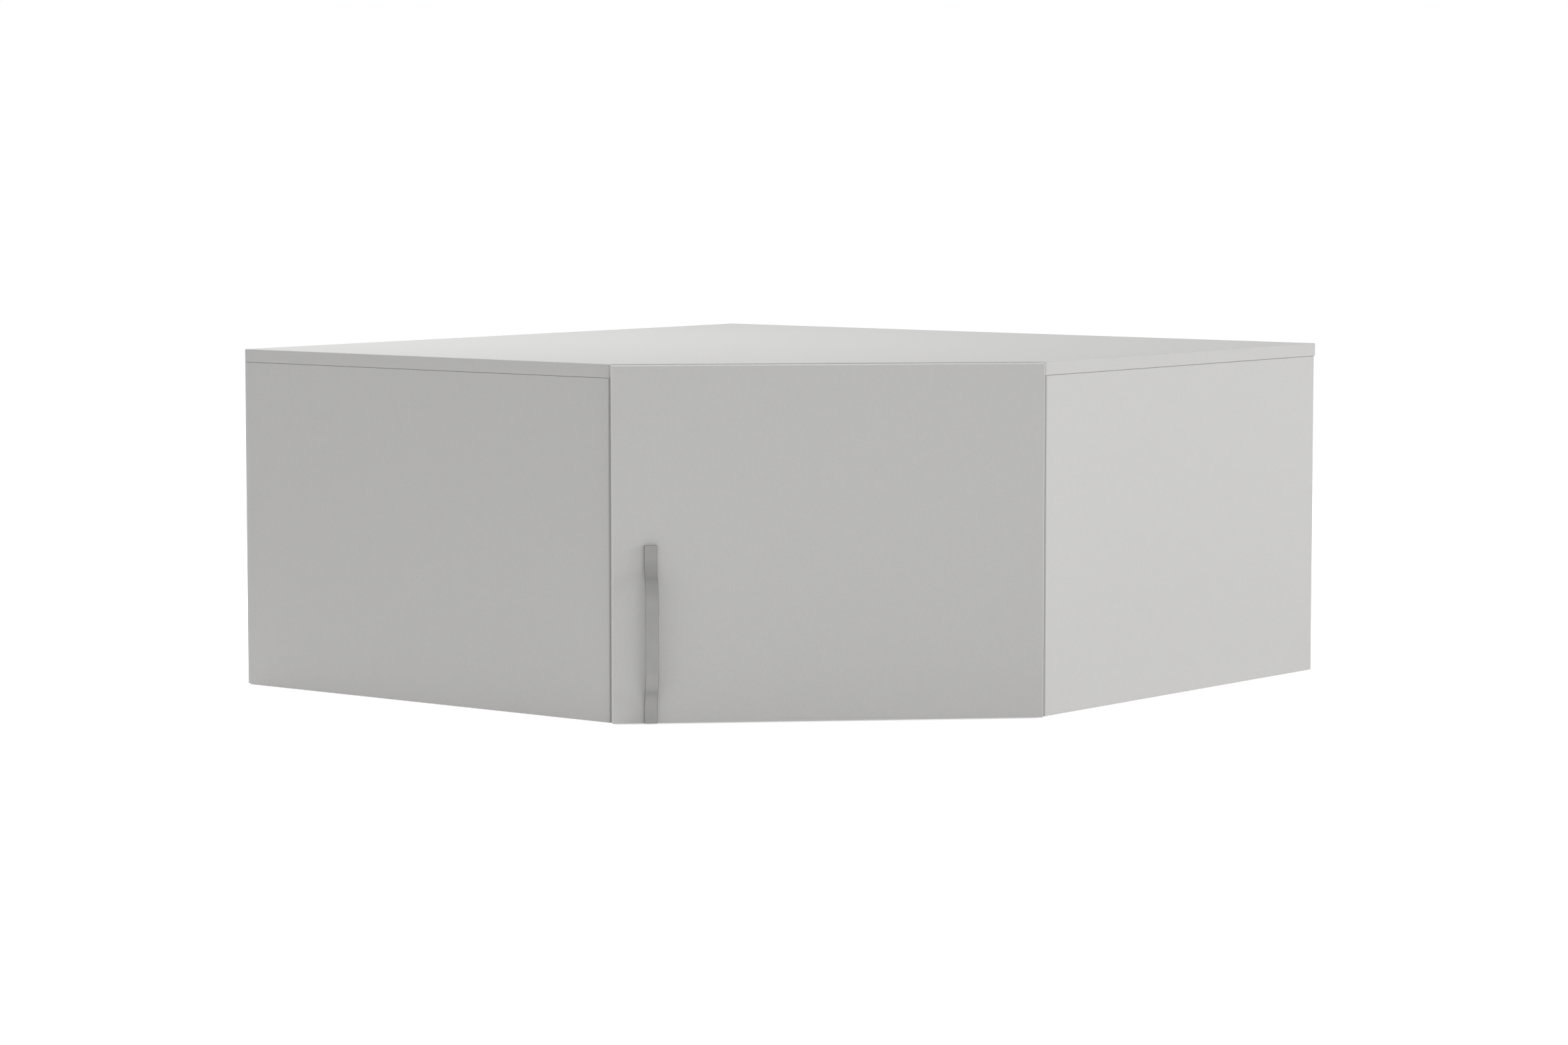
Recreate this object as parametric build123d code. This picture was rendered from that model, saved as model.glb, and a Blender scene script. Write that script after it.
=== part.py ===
"""Five-sided corner cabinet with one door across the diagonal, in millimetres.

+Z is up, the door faces -Y and the room corner lies on +Y. The origin is on the underside, halfway between
the diagonal front and the room corner. The carcass is drawn square to the two walls, with the room corner at
zero, and then turned into place.
"""
from build123d import *
import math
import os

# Outside of the cabinet
WALL_LENGTH = 950.0       # from the room corner along either wall
SIDE_DEPTH = 590.0        # a side's outer face, from its wall to the diagonal front
HEIGHT = 415.0
BOARD = 16.0              # coated chipboard of every board
BACK_SHEET = 3.0          # hardboard of the two backs
BACK_LIFT = 1.0           # the backs stop short of the underside
BAND = 1.0                # plastic edging
EDGE_ROUND = 0.7          # rounding along the edging
SIDE_ARRIS = 0.7          # eased upper edge of a side's outer face
TOP_CORNER_R = 4.0        # plan radius of the top's two front corners
BATTEN = 30.0             # square batten in the room corner

# Door and the gaps round it
DOOR_GAP = 3.0            # behind the door
HINGE_REVEAL = 5.0        # beside the hinges
FREE_REVEAL = 1.3         # beside the handle
TOP_REVEAL = 1.0
BOTTOM_REVEAL = 1.0
BUMPER_R = 4.0
BUMPER_INSET = 12.0       # from the door's free edge
BUMPER_AIR = 0.1

# Bow handle, a flat bar on two feet
HANDLE_LENGTH = 206.0
HANDLE_WIDTH = 15.0
HANDLE_BAR = 6.0
HANDLE_REACH = 26.0       # from the door's face to the front of the bow
HANDLE_FOOT = 15.0        # flat length of each foot
HANDLE_RISE_RUN = 48.0    # height over which a foot swings up to the bow
HANDLE_CORNER_R = 1.4
HANDLE_INSET = 44.2       # from the door's free edge to the middle of the handle
HANDLE_LIFT = 0.5         # from the door's lower edge
HANDLE_SCREW_END = 7.0    # from each end, which leaves 192 between the screws
HANDLE_SCREW_BITE = 4.5
SWEEP_EASE = 0.98         # keeps a short straight between the two bends of a foot

# Cup hinges with one pin each, and their cranked arms
HINGE_INSET = 85.0        # from the lower and the upper edge of the cabinet
PIN_R = 1.5
PIN_LENGTH = 18.0
PIN_PLAY = 0.05
PIN_INSET = 7.5           # from the door's hinged edge
PIN_DEPTH = 9.5           # below the back of the door
CUP_R = 17.4
CUP_TAB = 3.1             # door left between the cup and the door's edge
CUP_DEPTH = 13.0
CUP_FLOOR = 0.8
CUP_WALL = 1.0
CUP_EAR = 3.5             # from the pin to the free end of the ears that hold it
CUP_AIR = 0.1
FLANGE = 1.3
FLANGE_R = 18.5
FLANGE_WIDTH = 18.0
FLANGE_LENGTH = 60.0
FLANGE_CORNER_R = 8.0
FLANGE_ROUND = 0.5
CUP_SCREW_SPAN = 48.0
CUP_SCREW_BACK = 6.0      # screw line behind the middle of the cup
CUP_SCREW_R = 1.75
CUP_SCREW_LENGTH = 12.0
ARM = 3.0                 # thickness of the arm
EYE_WALL = 0.9
ARM_AIR = 0.3             # between the arm's eye and the pocket
ARM_NECK_WIDTH = 9.0
ARM_NECK_AIR = 0.5
ARM_NECK = 16.0           # from the pin to the bend inside the cup
ARM_CRANK = 8.0           # how far behind the carcass's front the arm turns along the side
ARM_BEND_R = 4.0
ARM_BODY_START = 16.0     # along the side, from its front edge
ARM_BODY_LENGTH = 48.0
ARM_BODY_WIDTH = 18.0
ARM_FLANGE = 1.5
ARM_FLANGE_DEPTH = 5.0
ARM_FLANGE_AIR = 0.5
ARM_ROUND = 1.0           # along the arm's pressed edges
PLATE_SCREW_LINE = 37.0   # from the side's front edge
PLATE_SCREW_SPAN = 32.0
PLATE_WING = 2.5
PLATE_WING_WIDTH = 13.0
PLATE_WING_ROUND = 0.8
PLATE_SCREW_R = 2.5
PLATE_SCREW_LENGTH = 11.0
PLATE_SCREW_HEAD_R = 4.5
PLATE_SCREW_HEAD = 2.0
ARM_SCREW_R = 2.0
ARM_SCREW_BITE = 5.0
ARM_SCREW_HEAD_R = 3.6
ARM_SCREW_HEAD = 2.0
ARM_SCREW_END = 10.0      # from each end of the arm's body
SPRING = 0.5              # leaf spring on the floor of the cup
SPRING_WIDTH = 8.0
SPRING_LIP = 6.0
SPRING_AIR = 0.1          # between the spring's lip and the cup's wall

# Knock-down fittings
FIT = 0.05                # radial clearance of what sits in a drilled hole
FITTING_INSET = 62.0      # first cam from the back and from the front of a side
DOWEL_STEP = 32.0         # dowel from its cam, towards the middle of the side
CAM_R = 7.4
CAM_DEPTH = 12.0
CAM_SETBACK = 34.0        # cam's middle from the joint
CAM_SOCKET_R = 2.5
CAM_SOCKET = 2.0
BOLT_R = 3.0
BOLT_AIR = 0.3
BOLT_PAST_CAM = 3.0
BOLT_THREAD_R = 2.5
BOLT_THREAD = 11.0
CAP_R = 8.5
CAP = 1.2
DOWEL_R = 4.0
DOWEL_LENGTH = 30.0
DOWEL_IN_FACE = 10.0      # the part of a dowel that sits in a board's face
SCREW_R = 2.0
SCREW_HEAD_R = 4.0
SCREW_HEAD = 2.4
BATTEN_SCREW_LENGTH = 45.0
NAIL_R = 0.7
NAIL_HEAD_R = 1.8
NAIL_HEAD = 0.8
NAIL_LENGTH = 18.0
NAIL_INSET = 70.0         # first nail from the ends of a back's height
NAIL_STAGGER = 30.0       # between the batten's nails from the left and from the right

# Fixing places
BASE_HOLE_R = 2.75
BASE_SPAN_X = 400.0
BASE_SPAN_Y = 400.0
BRACKET = 2.0             # steel angle that takes the wall screw
BRACKET_LEG = 40.0
BRACKET_WIDTH = 22.0
BRACKET_BEND_R = 3.0
BRACKET_PLACE = 500.0     # along the wall, from the room corner
BRACKET_HOLE = 25.0       # from the outside of the bend to the holes
WALL_SCREW_R = 3.5
BACK_HOLE_R = 4.5

# Places that follow from the sizes above
ROOT2 = math.sqrt(2.0)
CORNER_Y = (WALL_LENGTH + SIDE_DEPTH) / (2 * ROOT2)
FRONT_Y = -CORNER_Y
HALF_FRONT = (WALL_LENGTH - SIDE_DEPTH) / ROOT2
UNDER_TOP = HEIGHT - BOARD
SIDE_IN = -WALL_LENGTH + BOARD
SIDE_MID = -WALL_LENGTH + BOARD / 2
BEVEL_TIP = -SIDE_DEPTH - BOARD
BAND_SLANT = BAND * ROOT2
DOOR_LEFT = -HALF_FRONT + FREE_REVEAL
DOOR_RIGHT = HALF_FRONT - HINGE_REVEAL
DOOR_BOTTOM = BOTTOM_REVEAL
DOOR_TOP = HEIGHT - TOP_REVEAL
DOOR_BACK = FRONT_Y - DOOR_GAP
DOOR_FACE = DOOR_BACK - BOARD
PIN_X = DOOR_RIGHT - PIN_INSET
PIN_Y = DOOR_BACK - PIN_DEPTH
CUP_X = DOOR_RIGHT - CUP_TAB - CUP_R
HINGE_HEIGHTS = {"lower": HINGE_INSET, "upper": HEIGHT - HINGE_INSET}

UP = (0, 0, 1)
ALONG = (1 / ROOT2, 1 / ROOT2, 0)       # from the front to the back of the right side
INWARD = (-1 / ROOT2, 1 / ROOT2, 0)     # from the right side into the cabinet

os.makedirs("parts", exist_ok=True)


def from_walls(shape):
    """Turns a shape drawn square to the walls into the cabinet's frame."""
    return Pos(0, CORNER_Y, 0) * Rot(0, 0, 45) * shape


def other_side(shape):
    return mirror(shape, about=Plane.YZ)


def both_sides(shapes):
    """Left-hand pieces drawn square to the walls, with their right-hand twins."""
    left = [from_walls(shape) for shape in shapes]
    return left + [other_side(shape) for shape in left]


def slab(points, low, high):
    return Pos(0, 0, low) * extrude(make_face(Polyline(*points, close=True)), high - low, dir=UP)


def block(low, high):
    size = [b - a for a, b in zip(low, high)]
    return Pos(*low) * Box(*size, align=(Align.MIN, Align.MIN, Align.MIN))


def rod(start, direction, radius, length):
    return Plane(origin=start, z_dir=direction) * Cylinder(
        radius, length, align=(Align.CENTER, Align.CENTER, Align.MIN)
    )


def countersunk(start, direction, radius, length, head_r):
    """A screw whose flat head is level with its start."""
    head = Plane(origin=start, z_dir=direction) * Cone(
        head_r, radius, head_r - radius, align=(Align.CENTER, Align.CENTER, Align.MIN)
    )
    return rod(start, direction, radius, length) + head


def save(name, shapes):
    solids = [solid for shape in shapes for solid in shape.solids()]
    export_step(solids[0] if len(solids) == 1 else Compound(children=solids), f"parts/{name}.step")


# Cams, their bolts and dowels on the left side, which fix the top and the bottom to it
bolts, cams, caps, dowels = [], [], [], []
bolt_holes, cam_holes, dowel_holes = [], [], []
for back_end, middle in ((-BACK_SHEET - FITTING_INSET, -1), (-SIDE_DEPTH + FITTING_INSET, 1)):
    upper_cam = (SIDE_IN, back_end, UNDER_TOP - CAM_SETBACK)
    lower_cam = (SIDE_IN + CAM_SETBACK, back_end, 0)
    for joint, into_face, cam_start, cam_axis in (
        ((SIDE_MID, back_end, UNDER_TOP), (0, 0, 1), upper_cam, (-1, 0, 0)),
        ((SIDE_IN, back_end, BOARD / 2), (-1, 0, 0), lower_cam, (0, 0, 1)),
    ):
        into_edge = tuple(-part for part in into_face)
        shank = CAM_SETBACK + BOLT_PAST_CAM
        bolts.append(rod(joint, into_edge, BOLT_R, shank) + rod(joint, into_face, BOLT_THREAD_R, BOLT_THREAD))
        bolt_holes.append(rod(joint, into_edge, BOLT_R + FIT, shank + BOLT_AIR))
        bolt_holes.append(rod(joint, into_face, BOLT_THREAD_R + FIT, BOLT_THREAD + BOLT_AIR))
        cams.append(
            rod(cam_start, cam_axis, CAM_R, CAM_DEPTH)
            - rod(joint, into_edge, BOLT_R + BOLT_AIR, shank + BOLT_AIR)
            - rod(cam_start, cam_axis, CAM_SOCKET_R, CAM_SOCKET)
        )
        cam_holes.append(rod(cam_start, cam_axis, CAM_R + FIT, CAM_DEPTH + BOLT_AIR))
        dowel_mid = (joint[0], joint[1] + middle * DOWEL_STEP, joint[2])
        dowel_start = tuple(p + d * DOWEL_IN_FACE for p, d in zip(dowel_mid, into_face))
        dowels.append(rod(dowel_start, into_edge, DOWEL_R, DOWEL_LENGTH))
        dowel_holes.append(rod(dowel_start, into_edge, DOWEL_R + FIT, DOWEL_LENGTH))
    cap_peg = rod(upper_cam, (-1, 0, 0), CAM_SOCKET_R - FIT, CAM_SOCKET)
    caps.append(rod(upper_cam, (1, 0, 0), CAP_R, CAP) + cap_peg)

# The batten in the room corner stands on two screws and one dowel
batten_mid = -BACK_SHEET - BATTEN / 2
batten_screw_places = [(batten_mid + d * BATTEN / 4, batten_mid - d * BATTEN / 4, 0) for d in (-1, 1)]
batten_screws = [
    countersunk(place, UP, SCREW_R, BATTEN_SCREW_LENGTH, SCREW_HEAD_R) for place in batten_screw_places
]
batten_screw_holes = [
    countersunk(place, UP, SCREW_R + FIT, BATTEN_SCREW_LENGTH, SCREW_HEAD_R + FIT)
    for place in batten_screw_places
]
batten_dowel_start = (batten_mid, batten_mid, UNDER_TOP + DOWEL_IN_FACE)
batten_dowel = rod(batten_dowel_start, (0, 0, -1), DOWEL_R, DOWEL_LENGTH)
batten_dowel_hole = rod(batten_dowel_start, (0, 0, -1), DOWEL_R + FIT, DOWEL_LENGTH)

# Nails through each back into the side, the bottom and the batten
side_nails = [(SIDE_MID, z) for z in (NAIL_INSET, UNDER_TOP / 2, UNDER_TOP - NAIL_INSET)]
bottom_nails = [(-WALL_LENGTH * share / 4, BOARD / 2) for share in (1, 2, 3)]
batten_heights = (NAIL_INSET + BOARD, UNDER_TOP - NAIL_INSET - BOARD)


def nails_at(places, grow=0.0):
    return [
        rod((x, 0, z), (0, -1, 0), NAIL_R + grow, NAIL_LENGTH)
        + rod((x, 0, z), (0, -1, 0), NAIL_HEAD_R + grow, NAIL_HEAD)
        for x, z in places
    ]


left_nail_places = side_nails + bottom_nails + [(batten_mid, z) for z in batten_heights]
right_nail_places = side_nails + bottom_nails + [(batten_mid, z + NAIL_STAGGER) for z in batten_heights]
nails = [from_walls(nail) for nail in nails_at(left_nail_places)]
nails += [other_side(from_walls(nail)) for nail in nails_at(right_nail_places)]
nail_holes = [from_walls(nail) for nail in nails_at(left_nail_places, FIT)]
nail_holes += [other_side(from_walls(nail)) for nail in nails_at(right_nail_places, FIT)]

# Steel angles under the top take one wall screw each
bracket_profile = Polyline(
    (0, 0), (-BRACKET_LEG, 0), (-BRACKET_LEG, -BRACKET), (-BRACKET, -BRACKET), (-BRACKET, -BRACKET_LEG),
    (0, -BRACKET_LEG), close=True
)
bracket_plane = Plane(
    origin=(-BRACKET_PLACE - BRACKET_WIDTH / 2, -BACK_SHEET, UNDER_TOP), x_dir=(0, 1, 0), z_dir=(1, 0, 0)
)
bracket_blank = extrude(bracket_plane * make_face(bracket_profile), BRACKET_WIDTH, dir=(1, 0, 0))
outer_bend = bracket_blank.edges().filter_by(Axis.X).sort_by(Axis.Y)[-2:].sort_by(Axis.Z)[-1]
bracket_blank = fillet(outer_bend, BRACKET_BEND_R)
wall_screw_start = (-BRACKET_PLACE, -BACK_SHEET - BRACKET, UNDER_TOP - BRACKET_HOLE)
bracket_screw_start = (-BRACKET_PLACE, -BACK_SHEET - BRACKET_HOLE, UNDER_TOP - BRACKET)
bracket_screw_length = BRACKET + BOARD * 3 / 4
bracket_screw_hole = rod(bracket_screw_start, UP, SCREW_R + FIT, bracket_screw_length)
wall_hole = rod(wall_screw_start, (0, 1, 0), BACK_HOLE_R, BRACKET + BACK_SHEET)
wall_screw_hole = rod(wall_screw_start, (0, 1, 0), WALL_SCREW_R, BRACKET)
bracket = from_walls(bracket_blank - wall_screw_hole - bracket_screw_hole)
bracket_screw = rod(bracket_screw_start, UP, SCREW_R, bracket_screw_length) + rod(
    bracket_screw_start, (0, 0, -1), SCREW_HEAD_R, SCREW_HEAD
)

# Cutters that both halves of the carcass share
fitting_holes = both_sides(bolt_holes + cam_holes + dowel_holes + [bracket_screw_hole])
corner_holes = [from_walls(hole) for hole in batten_screw_holes + [batten_dowel_hole]]
base_holes = [
    rod((x * BASE_SPAN_X / 2, y * BASE_SPAN_Y / 2, 0), UP, BASE_HOLE_R, BOARD)
    for x in (-1, 1)
    for y in (-1, 1)
]

# Hinge pieces at height zero. The arm runs from the pin into the cup, back out and along the right side.
bend_x = PIN_X - ARM_NECK
crank_y = FRONT_Y + ARM_CRANK
side_tip = Vector(HALF_FRONT - BOARD * ROOT2, FRONT_Y, 0)
crank_point = Vector(bend_x, crank_y, 0)
arm_height = (crank_point - side_tip).dot(Vector(*INWARD))
arm_end = side_tip + Vector(*ALONG) * (ARM_BODY_START + ARM_BODY_LENGTH) + Vector(*INWARD) * arm_height
plate_top = arm_height - ARM / 2
side_plane = Plane(origin=side_tip, x_dir=ALONG, z_dir=INWARD)
arm_screw_stations = (ARM_BODY_START + ARM_SCREW_END, ARM_BODY_START + ARM_BODY_LENGTH - ARM_SCREW_END)
arm_channel = ARM_BODY_WIDTH - 2 * ARM_FLANGE
plate_width = arm_channel - 2 * ARM_FLANGE_AIR


def on_side(along, across, height, shape):
    """Sets a shape on the right side's inner face, with its own Z pointing into the cabinet."""
    return side_plane * Pos(along, across, height) * shape


def side_box(length, width, low, high, start, across=0.0):
    shape = Box(length, width, high - low, align=(Align.MIN, Align.CENTER, Align.MIN))
    return on_side(start, across, low, shape)


def side_rod(along, across, low, high, radius):
    shape = Cylinder(radius, high - low, align=(Align.CENTER, Align.CENTER, Align.MIN))
    return on_side(along, across, low, shape)


arm_path = FilletPolyline((PIN_X, PIN_Y, 0), (bend_x, PIN_Y, 0), crank_point, arm_end, radius=ARM_BEND_R)
neck_section = Plane(origin=(PIN_X, PIN_Y, 0), x_dir=UP, z_dir=(-1, 0, 0)) * Rectangle(ARM_NECK_WIDTH, ARM)
eye_r = PIN_R + PIN_PLAY + EYE_WALL
arm_block = Box(
    ARM_BODY_LENGTH, ARM_BODY_WIDTH, ARM + ARM_FLANGE_DEPTH, align=(Align.MIN, Align.CENTER, Align.MIN)
)
arm_body = fillet(arm_block.edges().filter_by(Axis.X).sort_by(Axis.Z)[-2:], ARM_ROUND)
arm_body -= Box(ARM_BODY_LENGTH, arm_channel, ARM_FLANGE_DEPTH, align=(Align.MIN, Align.CENTER, Align.MIN))
hinge_arm = sweep(neck_section, path=arm_path)
hinge_arm += rod((PIN_X, PIN_Y, -ARM_NECK_WIDTH / 2), UP, eye_r, ARM_NECK_WIDTH)
hinge_arm += on_side(ARM_BODY_START, 0, plate_top - ARM_FLANGE_DEPTH, arm_body)
hinge_arm -= rod((PIN_X, PIN_Y, -ARM_NECK_WIDTH / 2), UP, PIN_R + PIN_PLAY, ARM_NECK_WIDTH)

hinge_plate = side_box(ARM_BODY_LENGTH, plate_width, 0, plate_top, ARM_BODY_START)
wing_length = PLATE_SCREW_SPAN + PLATE_WING_WIDTH
wing = extrude(SlotOverall(wing_length, PLATE_WING_WIDTH, rotation=90), PLATE_WING)
wing = fillet(wing.faces().sort_by(Axis.Z)[-1].edges(), PLATE_WING_ROUND)
hinge_plate += on_side(PLATE_SCREW_LINE, 0, 0, wing)
plate_screws, plate_screw_holes, arm_screws = [], [], []
for across in (-PLATE_SCREW_SPAN / 2, PLATE_SCREW_SPAN / 2):
    hole = side_rod(PLATE_SCREW_LINE, across, -PLATE_SCREW_LENGTH, PLATE_WING, PLATE_SCREW_R + FIT)
    hinge_plate -= hole
    plate_screw_holes.append(hole)
    plate_screws.append(
        side_rod(PLATE_SCREW_LINE, across, -PLATE_SCREW_LENGTH, PLATE_WING, PLATE_SCREW_R)
        + side_rod(PLATE_SCREW_LINE, across, PLATE_WING, PLATE_WING + PLATE_SCREW_HEAD, PLATE_SCREW_HEAD_R)
    )
for station in arm_screw_stations:
    hole = side_rod(station, 0, plate_top - ARM_SCREW_BITE, plate_top + ARM, ARM_SCREW_R + FIT)
    hinge_plate -= hole
    hinge_arm -= hole
    arm_screws.append(
        side_rod(station, 0, plate_top - ARM_SCREW_BITE, plate_top + ARM, ARM_SCREW_R)
        + side_rod(station, 0, plate_top + ARM, plate_top + ARM + ARM_SCREW_HEAD, ARM_SCREW_HEAD_R)
    )

# The cup is let into the door's back, and is hollow but for two ears that hold the pin beside the arm
out = (0, -1, 0)
cup_back = DOOR_BACK + FLANGE
flange_plane = Plane(origin=(CUP_X, DOOR_BACK, 0), x_dir=(1, 0, 0), z_dir=(0, 1, 0))
flange_shape = Circle(FLANGE_R) + Pos(-CUP_SCREW_BACK, 0) * RectangleRounded(
    FLANGE_WIDTH, FLANGE_LENGTH, FLANGE_CORNER_R
)
pocket_half = ARM_NECK_WIDTH / 2 + ARM_NECK_AIR
pocket_floor = DOOR_BACK - CUP_DEPTH + CUP_FLOOR
pocket_r = CUP_R - CUP_WALL
flange = extrude(flange_plane * flange_shape, FLANGE, dir=(0, 1, 0))
flange = fillet(flange.faces().sort_by(Axis.Y)[-1].edges(), FLANGE_ROUND)
hollow = rod((CUP_X, cup_back, 0), out, pocket_r, cup_back - pocket_floor)
ear_end = PIN_X - CUP_EAR
hollow -= block((ear_end, pocket_floor, -CUP_R), (CUP_X + CUP_R, cup_back, CUP_R))
arm_slot = block((CUP_X, pocket_floor, -pocket_half), (PIN_X + eye_r + ARM_AIR, cup_back, pocket_half))
hinge_cup = rod((CUP_X, DOOR_BACK, 0), out, CUP_R, CUP_DEPTH) + flange - hollow - arm_slot
hinge_cup -= rod((PIN_X, PIN_Y, -CUP_R), UP, PIN_R, CUP_R + PIN_LENGTH / 2)
hinge_pin = rod((PIN_X, PIN_Y, -PIN_LENGTH / 2), UP, PIN_R, PIN_LENGTH)
spring_start = CUP_X + SPRING_AIR - math.sqrt(pocket_r ** 2 - (SPRING_WIDTH / 2) ** 2)
spring_end = PIN_X - eye_r - ARM_AIR
hinge_spring = block(
    (spring_start, pocket_floor, -SPRING_WIDTH / 2), (spring_end, pocket_floor + SPRING, SPRING_WIDTH / 2)
)
hinge_spring += block(
    (spring_start, pocket_floor, -SPRING_WIDTH / 2),
    (spring_start + SPRING, pocket_floor + SPRING_LIP, SPRING_WIDTH / 2),
)
cup_cutters = [rod((CUP_X, DOOR_BACK, 0), out, CUP_R + CUP_AIR, CUP_DEPTH)]
cup_screws = []
for side in (-1, 1):
    start = (CUP_X - CUP_SCREW_BACK, cup_back, side * CUP_SCREW_SPAN / 2)
    cup_head_r = CUP_SCREW_R + FLANGE
    cup_screws.append(countersunk(start, out, CUP_SCREW_R, CUP_SCREW_LENGTH, cup_head_r))
    hole = countersunk(start, out, CUP_SCREW_R + FIT, CUP_SCREW_LENGTH, cup_head_r + FIT)
    hinge_cup -= hole
    cup_cutters.append(hole)


def at_hinges(shapes):
    return [Pos(0, 0, height) * shape for height in HINGE_HEIGHTS.values() for shape in shapes]


for place, height in HINGE_HEIGHTS.items():
    save(f"{place}_hinge_cup", [Pos(0, 0, height) * hinge_cup])
    save(f"{place}_hinge_pin", [Pos(0, 0, height) * hinge_pin])
    save(f"{place}_hinge_spring", [Pos(0, 0, height) * hinge_spring])
    save(f"{place}_hinge_arm", [Pos(0, 0, height) * hinge_arm])
    save(f"{place}_hinge_plate", [Pos(0, 0, height) * hinge_plate])
save("hinge_cup_screws", at_hinges(cup_screws))
save("hinge_plate_screws", at_hinges(plate_screws))
save("hinge_arm_screws", at_hinges(arm_screws))

# Top: a five-sided board that lies on the sides, edged where it shows
outline = [
    (0, 0), (-WALL_LENGTH, 0), (-WALL_LENGTH, -SIDE_DEPTH), (-SIDE_DEPTH, -WALL_LENGTH), (0, -WALL_LENGTH)
]
core_end = -WALL_LENGTH + BAND
core_turn = -SIDE_DEPTH + BAND * (ROOT2 - 1)
core_outline = [(0, 0), (core_end, 0), (core_end, core_turn), (core_turn, core_end), (0, core_end)]


def round_front_corners(board, radius):
    """Rounds the two upright edges where the sides meet the diagonal."""
    uprights = board.edges().filter_by(Axis.Z).sort_by(lambda edge: edge.center().X + edge.center().Y)
    return fillet(uprights[:2], radius)


top_whole = round_front_corners(slab(outline, UNDER_TOP, HEIGHT), TOP_CORNER_R)
top_core = round_front_corners(slab(core_outline, UNDER_TOP, HEIGHT), TOP_CORNER_R - BAND)
shown_edges = [
    edge
    for edge in top_whole.edges()
    if edge.center().X < -BAND and edge.center().Y < -BAND and abs(edge.tangent_at(0.5).Z) < 0.5
]
top_banding = from_walls(fillet(shown_edges, EDGE_ROUND) - top_core)
top_panel = from_walls(top_core) - fitting_holes - corner_holes
save("top_panel", [top_panel])
save("top_edge_banding", [top_banding])

# Bottom: between the sides, level with their lower edges
bottom_outline = [
    (-BACK_SHEET, -BACK_SHEET), (SIDE_IN, -BACK_SHEET), (SIDE_IN, BEVEL_TIP + BAND_SLANT),
    (BEVEL_TIP + BAND_SLANT, SIDE_IN), (-BACK_SHEET, SIDE_IN)
]
bottom_band_outline = [
    (SIDE_IN, BEVEL_TIP), (BEVEL_TIP, SIDE_IN), (BEVEL_TIP + BAND_SLANT, SIDE_IN),
    (SIDE_IN, BEVEL_TIP + BAND_SLANT)
]
bottom_holes = fitting_holes + corner_holes + nail_holes + base_holes
save("bottom_panel", [from_walls(slab(bottom_outline, 0, BOARD)) - bottom_holes])
save("bottom_edge_banding", [from_walls(slab(bottom_band_outline, 0, BOARD))])

# Sides: their front edges are cut at 45 degrees to lie along the diagonal, and edged there
side_outline = [
    (-WALL_LENGTH, -SIDE_DEPTH + BAND_SLANT), (-WALL_LENGTH, -BACK_SHEET), (SIDE_IN, -BACK_SHEET),
    (SIDE_IN, BEVEL_TIP + BAND_SLANT)
]
side_band_outline = [
    (-WALL_LENGTH, -SIDE_DEPTH), (-WALL_LENGTH, -SIDE_DEPTH + BAND_SLANT), (SIDE_IN, BEVEL_TIP + BAND_SLANT),
    (SIDE_IN, BEVEL_TIP)
]
side_board = slab(side_outline, 0, UNDER_TOP)
side_board = fillet(side_board.edges().filter_by(Axis.Y).sort_by(Axis.Z)[-2:].sort_by(Axis.X)[:1], SIDE_ARRIS)
left_board = from_walls(side_board)
side_holes = fitting_holes + nail_holes
save("left_side_panel", [left_board - side_holes])
save("right_side_panel", [other_side(left_board) - side_holes - at_hinges(plate_screw_holes)])
side_band = slab(side_band_outline, 0, UNDER_TOP)
side_band = fillet(side_band.edges().filter_by(Axis.Z).sort_by(Axis.X)[:2].sort_by(Axis.Y)[:1], EDGE_ROUND)
save("side_edge_banding", both_sides([side_band]))

# Backs: two equal sheets that lap round the room corner, nailed on behind the sides and under the top
left_back = block((-WALL_LENGTH, -BACK_SHEET, BACK_LIFT), (-BACK_SHEET, 0, UNDER_TOP))
right_back = block((-BACK_SHEET, BACK_SHEET - WALL_LENGTH, BACK_LIFT), (0, 0, UNDER_TOP))
back_holes = nail_holes + both_sides([wall_hole])
save("left_back_panel", [from_walls(left_back) - back_holes])
save("right_back_panel", [from_walls(right_back) - back_holes])
batten_low = -BACK_SHEET - BATTEN
batten = from_walls(block((batten_low, batten_low, BOARD), (-BACK_SHEET, -BACK_SHEET, UNDER_TOP)))
save("corner_batten", [batten - corner_holes - nail_holes])

# Fittings of the carcass
save("cam_bolts", both_sides(bolts))
save("cam_housings", both_sides(cams))
save("cam_cover_caps", both_sides(caps))
save("wooden_dowels", both_sides(dowels) + [from_walls(batten_dowel)])
save("corner_batten_screws", [from_walls(screw) for screw in batten_screws])
save("back_panel_nails", nails)
save("left_wall_bracket", [bracket])
save("right_wall_bracket", [other_side(bracket)])
save("wall_bracket_screws", both_sides([bracket_screw]))

# Door: a board edged on all four sides
door_whole = block((DOOR_LEFT, DOOR_FACE, DOOR_BOTTOM), (DOOR_RIGHT, DOOR_BACK, DOOR_TOP))
core_low = (DOOR_LEFT + BAND, DOOR_FACE, DOOR_BOTTOM + BAND)
core_high = (DOOR_RIGHT - BAND, DOOR_BACK, DOOR_TOP - BAND)
door_core = block(core_low, core_high)
rim = fillet(door_whole.faces().sort_by(Axis.Y)[0].edges(), EDGE_ROUND)
rim = fillet(rim.faces().sort_by(Axis.Y)[-1].edges(), EDGE_ROUND) - door_core
upright_zone = block((core_low[0], DOOR_FACE, DOOR_BOTTOM), (core_high[0], DOOR_BACK, DOOR_TOP))
save("door_edge_banding", [rim - upright_zone, rim & upright_zone])

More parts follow.
